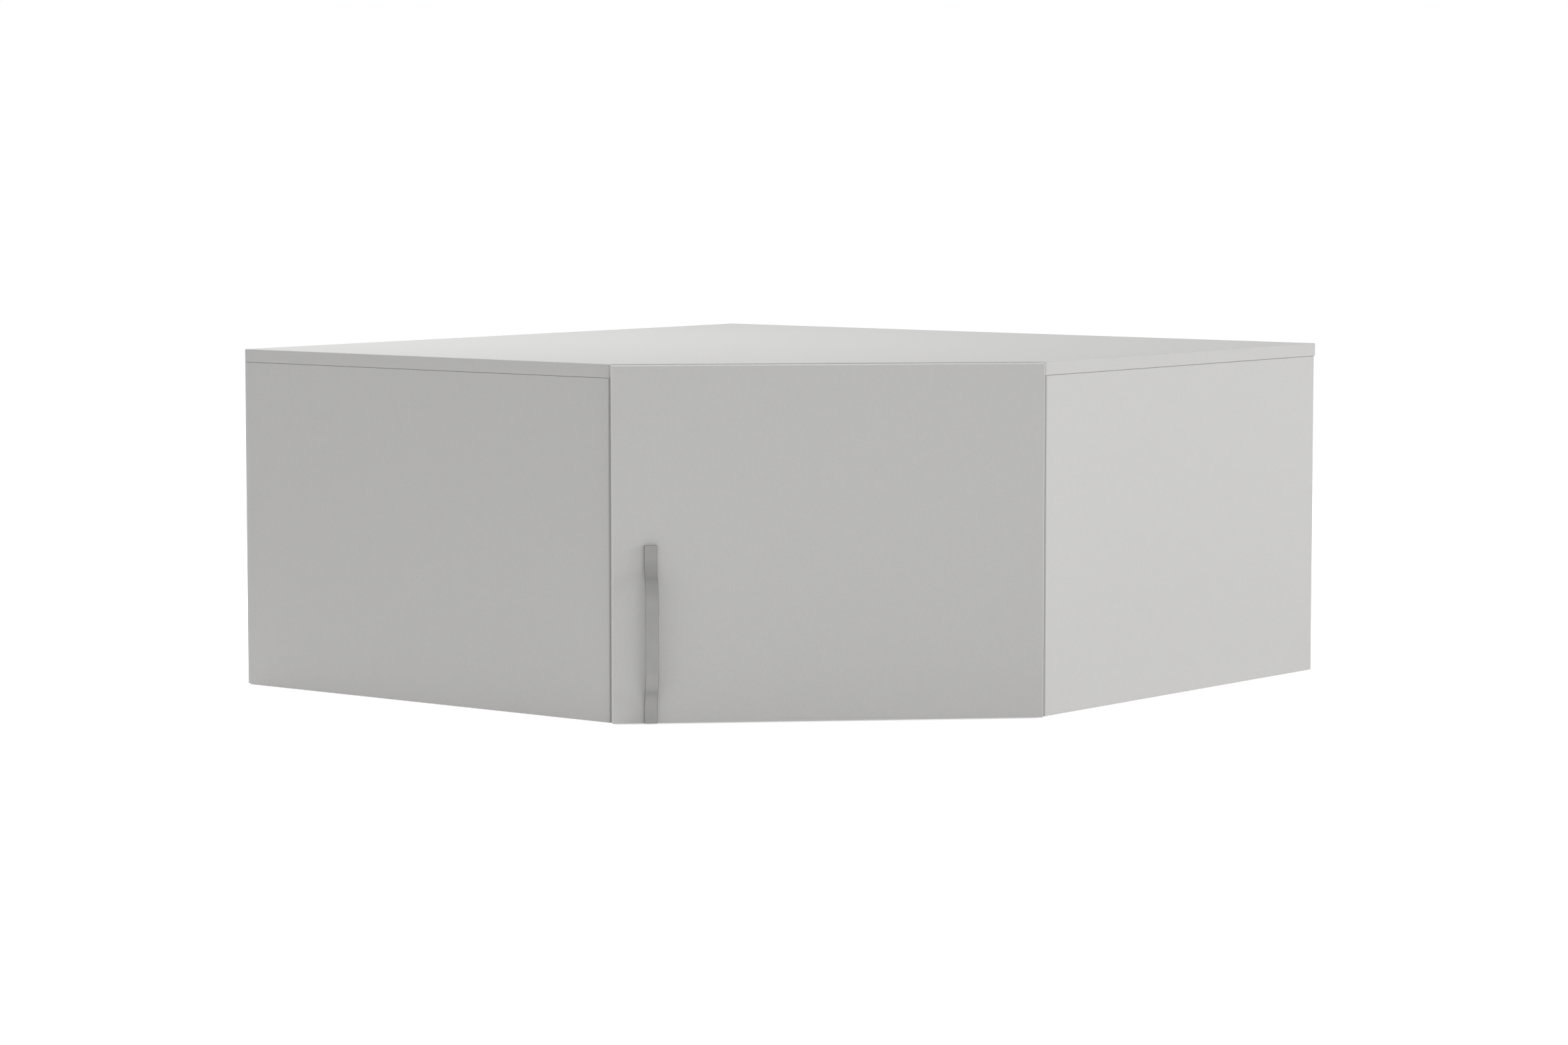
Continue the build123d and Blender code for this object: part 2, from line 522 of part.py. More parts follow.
# Handle: one flat bar, bent out from its two feet to a straight bow
handle_x = DOOR_LEFT + HANDLE_INSET
handle_low = DOOR_BOTTOM + HANDLE_LIFT
handle_high = handle_low + HANDLE_LENGTH
foot_y = DOOR_FACE - HANDLE_BAR / 2
bow_y = DOOR_FACE - HANDLE_REACH + HANDLE_BAR / 2
rise_turn = 2 * math.atan((foot_y - bow_y) / HANDLE_RISE_RUN)
rise_r = HANDLE_RISE_RUN / (2 * math.sin(rise_turn))
rise_tangent = rise_r * math.tan(rise_turn / 2)
foot_corner = HANDLE_FOOT + rise_tangent
bow_corner = HANDLE_FOOT + HANDLE_RISE_RUN - rise_tangent
handle_path = FilletPolyline(
    (handle_x, foot_y, handle_low),
    (handle_x, foot_y, handle_low + foot_corner),
    (handle_x, bow_y, handle_low + bow_corner),
    (handle_x, bow_y, handle_high - bow_corner),
    (handle_x, foot_y, handle_high - foot_corner),
    (handle_x, foot_y, handle_high),
    radius=rise_r * SWEEP_EASE,
)
handle_section = Plane(origin=(handle_x, foot_y, handle_low), x_dir=(1, 0, 0), z_dir=UP) * RectangleRounded(
    HANDLE_WIDTH, HANDLE_BAR, HANDLE_CORNER_R
)
handle = sweep(handle_section, path=handle_path)
handle_screws, handle_screw_holes = [], []
for height in (handle_low + HANDLE_SCREW_END, handle_high - HANDLE_SCREW_END):
    start = (handle_x, DOOR_BACK, height)
    screw_length = BOARD + HANDLE_SCREW_BITE
    handle_screws.append(countersunk(start, out, SCREW_R, screw_length, SCREW_HEAD_R))
    handle_screw_holes.append(countersunk(start, out, SCREW_R + FIT, screw_length, SCREW_HEAD_R + FIT))
save("handle", [handle - handle_screw_holes])
save("handle_screws", handle_screws)
save("door_panel", [door_core - at_hinges(cup_cutters) - handle_screw_holes])

# Soft bumpers that meet the front edges of the top and the bottom
bumper_x = DOOR_LEFT + BUMPER_INSET
save("door_bumpers", [
    rod((bumper_x, DOOR_BACK, height), (0, 1, 0), BUMPER_R, DOOR_GAP - BUMPER_AIR)
    for height in (BOARD / 2, HEIGHT - BOARD / 2)
])
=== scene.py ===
import bmesh
import bpy
import math
from mathutils import Matrix, Vector


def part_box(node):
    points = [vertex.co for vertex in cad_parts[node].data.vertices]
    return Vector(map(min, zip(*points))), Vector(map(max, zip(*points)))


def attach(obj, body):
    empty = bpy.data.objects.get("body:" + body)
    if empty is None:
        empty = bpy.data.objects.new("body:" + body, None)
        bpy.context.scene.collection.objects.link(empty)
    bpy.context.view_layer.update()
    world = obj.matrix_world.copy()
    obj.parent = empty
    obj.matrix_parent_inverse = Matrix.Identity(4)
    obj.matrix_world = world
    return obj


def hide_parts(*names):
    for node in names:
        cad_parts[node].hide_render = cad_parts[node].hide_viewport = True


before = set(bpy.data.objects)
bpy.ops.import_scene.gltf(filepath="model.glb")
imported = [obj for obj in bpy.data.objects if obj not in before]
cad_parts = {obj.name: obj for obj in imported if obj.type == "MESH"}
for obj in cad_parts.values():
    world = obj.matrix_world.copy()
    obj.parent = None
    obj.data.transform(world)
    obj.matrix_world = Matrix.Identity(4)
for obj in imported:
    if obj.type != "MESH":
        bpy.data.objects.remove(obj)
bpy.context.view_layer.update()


# Bottom board
# A five-sided sheet of 16 mm chipboard, pressed with a light grey resin film on both faces.
# It lies between the sides, and its sawn edges and drilled holes show the brown core.
FILM_SPECKLE = (0.0011, 0.0011, 0.0011)
FILM_GREYS = ((0.600, 0.597, 0.585), (0.644, 0.641, 0.629))
# painted shade on the boards' rounded arrises, which darkens the seams between the boards
SEAM_SHADE_GREYS = ((0.210, 0.209, 0.205), (0.250, 0.249, 0.244))
CORE_BROWNS = ((0.17, 0.10, 0.05), (0.40, 0.26, 0.14), (0.60, 0.43, 0.26))
CORE_RELIEF = 0.0004
FILM_GLOSS = 0.3
FLAT_FLAKE = (0.004, 0.004, 0.0012)
GRAIN_LOW, GRAIN_HIGH = 0.3, 0.7      # most of a grain's values lie between these


def new_finish(name):
    """A material, its nodes, its surface shader and its object coordinates."""
    material = bpy.data.materials.new(name)
    material.use_nodes = True
    tree = material.node_tree
    return material, tree, tree.nodes["Principled BSDF"], tree.nodes.new("ShaderNodeTexCoord")


def grain(tree, coords, size, turn=0.0, detail=3.0):
    """A noise whose grains have this size in metres along each axis, turned about the upright."""
    mapping = tree.nodes.new("ShaderNodeMapping")
    mapping.vector_type = "TEXTURE"
    mapping.inputs["Scale"].default_value = size
    mapping.inputs["Rotation"].default_value = (0.0, 0.0, turn)
    noise = tree.nodes.new("ShaderNodeTexNoise")
    noise.inputs["Scale"].default_value = 1.0
    noise.inputs["Detail"].default_value = detail
    tree.links.new(coords.outputs["Object"], mapping.inputs["Vector"])
    tree.links.new(mapping.outputs["Vector"], noise.inputs["Vector"])
    return noise.outputs["Fac"]


def span(tree, factor, low, high, start=GRAIN_LOW, stop=GRAIN_HIGH):
    """A number that runs from low to high as a grain goes from start to stop."""
    run = tree.nodes.new("ShaderNodeMapRange")
    run.inputs["From Min"].default_value = start
    run.inputs["From Max"].default_value = stop
    run.inputs["To Min"].default_value = low
    run.inputs["To Max"].default_value = high
    tree.links.new(factor, run.inputs["Value"])
    return run.outputs["Result"]


def tint(tree, factor, *shades):
    """Colours that follow a grain, from the first shade to the last."""
    ramp = tree.nodes.new("ShaderNodeValToRGB")
    stops = ramp.color_ramp.elements
    while len(stops) < len(shades):
        stops.new(0.5)
    for index, (stop, shade) in enumerate(zip(stops, shades)):
        stop.position = GRAIN_LOW + (GRAIN_HIGH - GRAIN_LOW) * index / (len(shades) - 1)
        stop.color = (*shade, 1.0)
    tree.links.new(factor, ramp.inputs["Fac"])
    return ramp.outputs["Color"]


def choose(tree, mask, plain, masked, kind="RGBA"):
    """The masked value where the mask is one, and the plain one elsewhere."""
    mix = tree.nodes.new("ShaderNodeMix")
    mix.data_type = kind
    sockets = {socket.name: socket for socket in mix.inputs if socket.enabled}
    tree.links.new(mask, sockets["Factor"])
    tree.links.new(plain, sockets["A"])
    tree.links.new(masked, sockets["B"])
    return next(socket for socket in mix.outputs if socket.enabled)


def facing(tree, coords, across, least=0.9, both=True):
    """One on the surfaces that look along a direction, and nought on the others."""
    dot = tree.nodes.new("ShaderNodeVectorMath")
    dot.operation = "DOT_PRODUCT"
    dot.inputs[1].default_value = across
    tree.links.new(coords.outputs["Normal"], dot.inputs[0])
    result = dot.outputs["Value"]
    if both:
        size = tree.nodes.new("ShaderNodeMath")
        size.operation = "ABSOLUTE"
        tree.links.new(result, size.inputs[0])
        result = size.outputs["Value"]
    above = tree.nodes.new("ShaderNodeMath")
    above.operation = "GREATER_THAN"
    above.inputs[1].default_value = least
    tree.links.new(result, above.inputs[0])
    return above.outputs["Value"]


def emboss(tree, surface, height, depth):
    """Raises the surface by a height, which counts for depth metres."""
    bump = tree.nodes.new("ShaderNodeBump")
    bump.inputs["Strength"].default_value = 1.0
    bump.inputs["Distance"].default_value = depth
    tree.links.new(height, bump.inputs["Height"])
    tree.links.new(bump.outputs["Normal"], surface.inputs["Normal"])


def coated_board(name, across, flake, turn=0.0):
    """Chipboard with film on its two faces, painted dark grey on its rounded arrises as painted shade for
    the seams, and its bare core elsewhere.
    """
    material, tree, surface, coords = new_finish(name)
    film = facing(tree, coords, across, least=0.3)
    pearl = grain(tree, coords, FILM_SPECKLE, detail=2.0)
    flakes = grain(tree, coords, flake, turn, detail=5.0)
    # The dark grey on the rounded arrises is painted shade, which darkens the seams between the boards.
    seam_shade = tint(tree, pearl, *SEAM_SHADE_GREYS)
    coat = choose(tree, facing(tree, coords, across), seam_shade, tint(tree, pearl, *FILM_GREYS))
    core = tint(tree, flakes, *CORE_BROWNS)
    tree.links.new(choose(tree, film, core, coat), surface.inputs["Base Color"])
    satin = span(tree, pearl, 0.46, 0.54)
    dull = span(tree, flakes, 0.80, 0.95)
    tree.links.new(choose(tree, film, dull, satin, "FLOAT"), surface.inputs["Roughness"])
    relief = choose(tree, film, span(tree, flakes, 0.0, 1.0), span(tree, pearl, 0.0, 0.05), "FLOAT")
    emboss(tree, surface, relief, CORE_RELIEF)
    surface.inputs["Specular IOR Level"].default_value = FILM_GLOSS
    return material


def dress(node, material):
    """Gives a board or fitting of the frame its finish."""
    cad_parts[node].material_slots[0].material = material


flat_board = coated_board("coated board laid flat", (0.0, 0.0, 1.0), FLAT_FLAKE)
dress("bottom_panel", flat_board)


# Sides
# Two uprights of the same coated board, each with its front edge sawn at 45 degrees along the diagonal.
# They stand on whatever carries the cabinet, and the top lies on them.
UPRIGHT_FLAKE = (0.0012, 0.004, 0.004)
slant = math.sqrt(0.5)
for hand, across, turn in (("left", (slant, slant, 0.0), 45), ("right", (slant, -slant, 0.0), -45)):
    board_finish = coated_board(f"{hand} coated board", across, UPRIGHT_FLAKE, math.radians(turn))
    dress(f"{hand}_side_panel", board_finish)


# Edging
# Strips of 1 mm plastic in the boards' own grey, glued on with heat and trimmed with a small rounding.
# It is a little smoother than the film. On the sides it is painted darker, as painted shade for the dark
# gaps beside the door, and on the door it is painted lighter, as a painted highlight along its edges.
TRIMMED_SPECKLE = (0.0009, 0.0009, 0.0009)
TRIMMED_RELIEF = 0.00001


def plastic(name, dark, light):
    """Smooth plastic in a grey between a darker and a lighter one."""
    material, tree, surface, coords = new_finish(name)
    trimmed = grain(tree, coords, TRIMMED_SPECKLE, detail=2.0)
    tree.links.new(tint(tree, trimmed, dark, light), surface.inputs["Base Color"])
    tree.links.new(span(tree, trimmed, 0.33, 0.40), surface.inputs["Roughness"])
    emboss(tree, surface, trimmed, TRIMMED_RELIEF)
    return material


edging = plastic("plastic edging", (0.582, 0.579, 0.567), (0.614, 0.611, 0.599))
for node in ("bottom_edge_banding", "top_edge_banding"):
    dress(node, edging)
# The side edging's darker grey is painted shade for the gaps beside the door, not a different plastic.
dress("side_edge_banding", plastic("side edging in painted shade", (0.440, 0.438, 0.429), (0.470, 0.468, 0.459)))


# Dowels
# Fluted beech pegs of 8 mm, pressed with glue into the sides' edges and the bottom's, with chamfered ends.
# Each side has two up into the top and two across into the bottom, and one more holds the corner batten.
UP = (0, 0, 1)
DOWN = (0, 0, -1)
DOWEL_LINES = (-0.097, -0.496)        # across a side, from the wall
DOWEL_R = 0.00398
DOWEL_END_R = 0.0032
DOWEL_LENGTH = 0.030
DOWEL_CHAMFER = 0.0012
DOWEL_IN_FACE = 0.010                 # the part that sits in a board's face
DOWEL_STEPS = 48
FLUTE_STEPS = 4                       # round the dowel from one flute to the next
FLUTE_FLOOR = 0.95                    # share of the radius
SMOOTH_BELOW = math.radians(32)
SAME_POINT = 1e-7
BEECH_FLECK = (0.0006, 0.0006, 0.003)
BEECH_TONES = ((0.50, 0.31, 0.16), (0.66, 0.46, 0.27))
BEECH_RELIEF = 0.00005

top_low, top_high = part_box("top_panel")
room_corner = top_high.y
under_top = top_low.z
board = top_high.z - top_low.z
wall_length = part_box("top_edge_banding")[1].x * math.sqrt(2.0)
side_middle = board / 2 - wall_length
side_inside = board - wall_length
walls = Matrix.Translation((0.0, room_corner, 0.0)) @ Matrix.Rotation(math.radians(45), 4, "Z")
twin = Matrix.Scale(-1.0, 4, (1.0, 0.0, 0.0))


def aim(start, direction):
    """The place of a shape that is drawn along its own Z, in the cabinet's frame."""
    return Matrix.Translation(start) @ Vector(direction).to_track_quat("Z", "Y").to_matrix().to_4x4()


def set_on(start, direction):
    """The same, but measured square to the walls from the room corner."""
    return walls @ aim(start, direction)


def with_twins(places):
    """Places on the left, and their mirror images on the right."""
    return places + [twin @ place for place in places]


def turned(profile, steps=32):
    """A closed shape of revolution about its own Z, from points of radius and height."""
    shape = bmesh.new()
    points = [shape.verts.new((radius, 0.0, height)) for radius, height in profile]
    lines = [shape.edges.new(pair) for pair in zip(points, points[1:])]
    bmesh.ops.spin(
        shape, geom=points + lines, cent=(0, 0, 0), axis=UP, angle=2 * math.pi, steps=steps, use_merge=True
    )
    bmesh.ops.remove_doubles(shape, verts=shape.verts[:], dist=SAME_POINT)
    bmesh.ops.recalc_face_normals(shape, faces=shape.faces[:])
    return shape


def copied(shape, places):
    """A bmesh with one copy of a shape at each place."""
    mesh = bpy.data.meshes.new("pattern")
    shape.to_mesh(mesh)
    shape.free()
    whole = bmesh.new()
    for place in places:
        first = len(whole.verts)
        whole.from_mesh(mesh)
        whole.verts.ensure_lookup_table()
        bmesh.ops.transform(whole, matrix=place, verts=whole.verts[first:])
    bpy.data.meshes.remove(mesh)
    return whole


def fit(name, shape, material, body, slot, *nodes):
    """Makes a piece of a shape, on its body, in place of the plain solids that it stands for."""
    bmesh.ops.recalc_face_normals(shape, faces=shape.faces[:])
    mesh = bpy.data.meshes.new(name)
    shape.to_mesh(mesh)
    shape.free()
    mesh.materials.append(material)
    mesh.shade_smooth()
    mesh.set_sharp_from_angle(angle=SMOOTH_BELOW)
    made = bpy.data.objects.new(name, mesh)
    bpy.context.scene.collection.objects.link(made)
    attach(made, body)
    if nodes:
        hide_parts(*nodes)


def in_flute(point):
    """Whether a point of the dowel's long wall lies on the floor of a flute."""
    step = round(math.atan2(point.co.y, point.co.x) * DOWEL_STEPS / (2 * math.pi))
    on_wall = point.co.xy.length > (DOWEL_END_R + DOWEL_R) / 2
    return on_wall and step % FLUTE_STEPS < FLUTE_STEPS / 2


dowel_shape = turned([
    (0.0, 0.0), (DOWEL_END_R, 0.0), (DOWEL_R, DOWEL_CHAMFER), (DOWEL_R, DOWEL_LENGTH - DOWEL_CHAMFER),
    (DOWEL_END_R, DOWEL_LENGTH), (0.0, DOWEL_LENGTH)
], steps=DOWEL_STEPS)
flutes = [point for point in dowel_shape.verts if in_flute(point)]
bmesh.ops.scale(dowel_shape, vec=(FLUTE_FLOOR, FLUTE_FLOOR, 1.0), verts=flutes)

batten_low, batten_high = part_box("corner_batten")
batten_middle = ((batten_low.y + batten_high.y) / 2 - room_corner) * slant
dowel_places = []
for across_wall in DOWEL_LINES:
    dowel_places.append(set_on((side_middle, across_wall, under_top + DOWEL_IN_FACE), DOWN))
    dowel_places.append(set_on((side_inside - DOWEL_IN_FACE, across_wall, board / 2), (1, 0, 0)))
dowel_places = with_twins(dowel_places)
dowel_places.append(set_on((batten_middle, batten_middle, under_top + DOWEL_IN_FACE), DOWN))

beech, tree, surface, coords = new_finish("beech")
flecks = grain(tree, coords, BEECH_FLECK, detail=4.0)
tree.links.new(tint(tree, flecks, *BEECH_TONES), surface.inputs["Base Color"])
tree.links.new(span(tree, flecks, 0.55, 0.70), surface.inputs["Roughness"])
emboss(tree, surface, flecks, BEECH_RELIEF)
fit("fluted_dowels", copied(dowel_shape, dowel_places), beech, "carcass", "dowel_wood", "wooden_dowels")


# Cam bolts
# Turned steel bolts with a wood thread at one end and a necked head at the other, bright zinc plated.
# The thread is driven into a board's face, and the head reaches through the next board's edge into its cam.
CAM_LINES = (-0.065, -0.528)          # across a side, from the wall
BOLT_PROFILE = (
    (0.0, 0.011), (0.0012, 0.011), (0.0019, 0.0098), (0.0019, 0.0004),       # tip and core of the thread
    (0.0030, 0.0), (0.0030, -0.0296),                                        # shank
    (0.0019, -0.0308), (0.0019, -0.0344),                                    # neck
    (0.0030, -0.0354), (0.0028, -0.0366), (0.0, -0.0370),                    # head
)
RIDGE_STEPS = 14                      # round one turn of a thread
RIDGE_FOOT = 0.94                     # the ridge's foot, sunk into the core, as a share of its radius
RIDGE_HALF = 0.32                     # half the ridge's width, as a share of the pitch
PLATING_SPECK = (0.0005, 0.0005, 0.0005)
PLATING_RELIEF = 0.000008


def wind_thread(shape, core, crest, low, high, pitch):
    """Winds a sharp ridge round a shank from low to high."""
    turns = (high - low) / pitch
    steps = round(turns * RIDGE_STEPS)
    foot, half = core * RIDGE_FOOT, pitch * RIDGE_HALF
    ridge = [(foot, low - half), (crest, low), (foot, low + half)]
    points = [shape.verts.new((radius, 0.0, height)) for radius, height in ridge]
    lines = [shape.edges.new((points[i], points[i - 1])) for i in range(3)]
    wound = bmesh.ops.spin(
        shape, geom=points + lines, cent=(0, 0, 0), axis=UP, dvec=(0, 0, (high - low) / steps),
        angle=2 * math.pi * turns, steps=steps
    )
    shape.faces.new(points)
    shape.faces.new([corner for corner in wound["geom_last"] if isinstance(corner, bmesh.types.BMVert)])


def plated(name, shades, smoothest, dullest, cloud=0.004):
    """A plated metal with faint clouds in its colour and its gloss."""
    material, tree, surface, coords = new_finish(name)
    clouds = grain(tree, coords, (cloud, cloud, cloud), detail=4.0)
    specks = grain(tree, coords, PLATING_SPECK, detail=2.0)
    tree.links.new(tint(tree, clouds, *shades), surface.inputs["Base Color"])
    tree.links.new(span(tree, clouds, smoothest, dullest), surface.inputs["Roughness"])
    emboss(tree, surface, specks, PLATING_RELIEF)
    surface.inputs["Metallic"].default_value = 1.0
    return material


bolt_shape = turned(BOLT_PROFILE, steps=24)
wind_thread(bolt_shape, core=0.0019, crest=0.00248, low=0.0012, high=0.0096, pitch=0.0018)
bolt_places = []
for across_wall in CAM_LINES:
    bolt_places.append(set_on((side_middle, across_wall, under_top), UP))
    bolt_places.append(set_on((side_inside, across_wall, board / 2), (-1, 0, 0)))
zinc_plate = plated("bright zinc plating", ((0.52, 0.53, 0.54), (0.66, 0.66, 0.64)), 0.24, 0.36)
fit(
    "cam_bolts_turned", copied(bolt_shape, with_twins(bolt_places)), zinc_plate,
    "carcass", "zinc_screws", "cam_bolts"
)


# Cams
# Round die-cast zinc housings of 15 mm, let into the sides near the top and into the bottom from below.
# A driver turns each one by the cross in its face, which pulls the bolt's head in.
CAM_SETBACK = 0.034                   # a cam's middle from the joint
SOCKET_R = 0.00247
SOCKET_DEPTH = 0.002
CROSS_TAPER = 0.8                     # floor of a cross as a share of its mouth
FLAT_WITHIN = 1e-6
die_cast = plated("die-cast zinc", ((0.40, 0.40, 0.41), (0.52, 0.52, 0.52)), 0.42, 0.58, cloud=0.002)
dress("cam_housings", die_cast)


def press_cross(shape, height, half_width, reach, depth):
    """Presses a driver's cross into the flat face at a height."""
    def flat_faces():
        return [face for face in shape.faces if all(abs(v.co.z - height) < FLAT_WITHIN for v in face.verts)]

    bmesh.ops.dissolve_faces(shape, faces=flat_faces())
    for normal in ((1, 0, 0), (0, 1, 0)):
        for offset in (-reach, -half_width, half_width, reach):
            faces = flat_faces()
            lines = list({line for face in faces for line in face.edges})
            points = list({point for face in faces for point in face.verts})
            bmesh.ops.bisect_plane(
                shape, geom=faces + lines + points, plane_co=Vector(normal) * offset, plane_no=normal,
                dist=SAME_POINT
            )
    arms = []
    for face in flat_faces():
        near, far = sorted(abs(part) for part in face.calc_center_median().xy)
        if near < half_width and far < reach:
            arms.append(face)
    pressed = bmesh.ops.extrude_face_region(shape, geom=arms)
    floor_points = [point for point in pressed["geom"] if isinstance(point, bmesh.types.BMVert)]
    bmesh.ops.translate(shape, vec=(0, 0, -depth), verts=floor_points)
    bmesh.ops.scale(shape, vec=(CROSS_TAPER, CROSS_TAPER, 1.0), verts=floor_points)


socket_profile = ((0.0, -SOCKET_DEPTH), (SOCKET_R, -SOCKET_DEPTH), (SOCKET_R, 0.0), (0.0, 0.0))
cross_shape = turned(socket_profile, steps=24)
press_cross(cross_shape, height=0.0, half_width=0.00045, reach=0.0021, depth=0.0014)
cross_places = [set_on((side_inside + CAM_SETBACK, across_wall, 0.0), DOWN) for across_wall in CAM_LINES]
fit("cam_crosses", copied(cross_shape, with_twins(cross_places)), die_cast, "carcass", "zinc_fittings")


# Cover caps
# Small grey plastic discs with a rounded rim, moulded with a peg behind.
# Each is pressed by its peg into the cross of a cam in a side.
CAP_PROFILE = (
    (0.0, -0.0019), (0.0021, -0.0019), (0.00243, -0.0015), (0.00243, 0.0),       # peg
    (0.0085, 0.0), (0.0085, 0.00045), (0.0083, 0.0008), (0.0078, 0.00108),       # rim
    (0.0070, 0.0012), (0.0, 0.0012),                                             # face
)
CAP_SPECKLE = (0.0007, 0.0007, 0.0007)
CAP_GREYS = ((0.56, 0.557, 0.545), (0.61, 0.607, 0.595))
CAP_RELIEF = 0.00002
cap_height = under_top - CAM_SETBACK
cap_places = [set_on((side_inside, across_wall, cap_height), (1, 0, 0)) for across_wall in CAM_LINES]
cap_plastic, tree, surface, coords = new_finish("grey cap plastic")
moulded = grain(tree, coords, CAP_SPECKLE, detail=2.0)
tree.links.new(tint(tree, moulded, *CAP_GREYS), surface.inputs["Base Color"])
tree.links.new(span(tree, moulded, 0.42, 0.52), surface.inputs["Roughness"])
emboss(tree, surface, moulded, CAP_RELIEF)
fit(
    "cam_caps_rounded", copied(turned(CAP_PROFILE, steps=40), with_twins(cap_places)), cap_plastic,
    "carcass", "cap_plastic", "cam_cover_caps"
)


# Top board
# The same five-sided board, a little larger, laid on the sides and the batten and pulled down by the cams.
# Its two edges along the walls are left raw.
dress("top_panel", flat_board)


# Corner batten
# A planed spruce stick, 30 mm square, that joins the two backs in the room corner.
# Two countersunk screws come up into it through the bottom.
RING = (0.0042, 0.0042, 0.35)
SPRUCE_FIBRE = (0.0007, 0.0007, 0.03)
RING_TONES = ((0.56, 0.36, 0.17), (0.70, 0.52, 0.31), (0.74, 0.57, 0.36))
FIBRE_TONES = ((0.60, 0.41, 0.22), (0.76, 0.60, 0.40))
SPRUCE_RELIEF = 0.00012
BATTEN_SCREW_STEP = 0.0075            # along and across, from the batten's middle
THREAD_CORE = 0.72                    # a thread's core as a share of its screw's radius
THREAD_CREST = 0.985
spruce, tree, surface, coords = new_finish("planed spruce")
fibres = grain(tree, coords, SPRUCE_FIBRE, detail=4.0)
mellow = tint(tree, grain(tree, coords, RING, detail=2.0), *RING_TONES)
pale = tint(tree, fibres, *FIBRE_TONES)
tree.links.new(choose(tree, span(tree, fibres, 0.2, 0.6), mellow, pale), surface.inputs["Base Color"])
tree.links.new(span(tree, fibres, 0.52, 0.68), surface.inputs["Roughness"])
emboss(tree, surface, fibres, SPRUCE_RELIEF)
dress("corner_batten", spruce)


def cross_screw(head, shank, length, pan=0.0, pitch=0.0018):
    """A cross-head screw down its own Z, by its radii, countersunk or with a pan head of some height."""
    core = shank * THREAD_CORE
    if pan:
        crown = [(0.0, pan), (head * 0.60, pan), (head * 0.85, pan * 0.82), (head * 0.97, pan * 0.45)]
        neck = 0.0
    else:
        crown = [(0.0, 0.0)]
        neck = shank - head
    rim_and_shank = [(head, 0.0), (shank, neck), (shank, neck - shank), (core, neck - shank * 1.3)]
    tip = [(core, core * 2 - length), (0.0, -length)]
    shape = turned(crown + rim_and_shank + tip, steps=28)
    wind_thread(shape, core, shank * THREAD_CREST, core * 2.2 - length, neck - shank * 1.9, pitch)
    press_cross(shape, height=pan, half_width=head * 0.13, reach=head * 0.52, depth=head * 0.4)
    return shape


batten_places = [
    set_on((batten_middle + step, batten_middle - step, 0.0), DOWN)
    for step in (-BATTEN_SCREW_STEP, BATTEN_SCREW_STEP)
]
batten_screw = cross_screw(head=0.004, shank=0.002, length=0.045)
fit(
    "batten_screws_threaded", copied(batten_screw, batten_places), zinc_plate,
    "carcass", "zinc_screws", "corner_batten_screws"
)


# Backs
# Two sheets of 3 mm hardboard that lap in the room corner, lacquered grey inside and bare brown behind.
# They are nailed to the sides, the bottom and the batten, with the nails' heads sunk level.
HARDBOARD_FIBRE = (0.0016, 0.0016, 0.0016)
LACQUER_CLOUD = (0.06, 0.06, 0.06)
BARE_BROWNS = ((0.17, 0.088, 0.040), (0.28, 0.155, 0.075), (0.36, 0.22, 0.115))
LACQUER_GREYS = ((0.625, 0.622, 0.610), (0.645, 0.642, 0.630))
HARDBOARD_RELIEF = 0.0002
BLUED_GREYS = ((0.16, 0.17, 0.19), (0.28, 0.29, 0.31))
hardboard, tree, surface, coords = new_finish("lacquered hardboard")
bare = facing(tree, coords, (0.0, 1.0, 0.0), least=0.5, both=False)
fibres = grain(tree, coords, HARDBOARD_FIBRE, detail=6.0)
clouds = grain(tree, coords, LACQUER_CLOUD)
brown = tint(tree, fibres, *BARE_BROWNS)
lacquer = tint(tree, clouds, *LACQUER_GREYS)
tree.links.new(choose(tree, bare, lacquer, brown), surface.inputs["Base Color"])
rough = choose(tree, bare, span(tree, clouds, 0.50, 0.56), span(tree, fibres, 0.62, 0.80), "FLOAT")
tree.links.new(rough, surface.inputs["Roughness"])
relief = choose(tree, bare, span(tree, fibres, 0.0, 0.12), span(tree, fibres, 0.0, 1.0), "FLOAT")
emboss(tree, surface, relief, HARDBOARD_RELIEF)
for node in ("left_back_panel", "right_back_panel"):
    dress(node, hardboard)
dress("back_panel_nails", plated("blued nail steel", BLUED_GREYS, 0.34, 0.48, cloud=0.001))


# Wall angles
# Bent steel angles, zinc plated, screwed up under the top close to each back.
# A wall screw goes through the free leg and the back.
ANGLE_PLACE = -0.5                    # along the wall, from the room corner
ANGLE_SCREW_LINE = -0.028             # out from the wall
ANGLE_STEEL = 0.002
for node in ("left_wall_bracket", "right_wall_bracket"):
    dress(node, zinc_plate)
angle_places = [set_on((ANGLE_PLACE, ANGLE_SCREW_LINE, under_top - ANGLE_STEEL), DOWN)]
angle_screw = cross_screw(head=0.004, shank=0.002, length=0.014, pan=0.0024)
fit(
    "wall_angle_screws", copied(angle_screw, with_twins(angle_places)), zinc_plate,
    "carcass", "zinc_screws", "wall_bracket_screws"
)


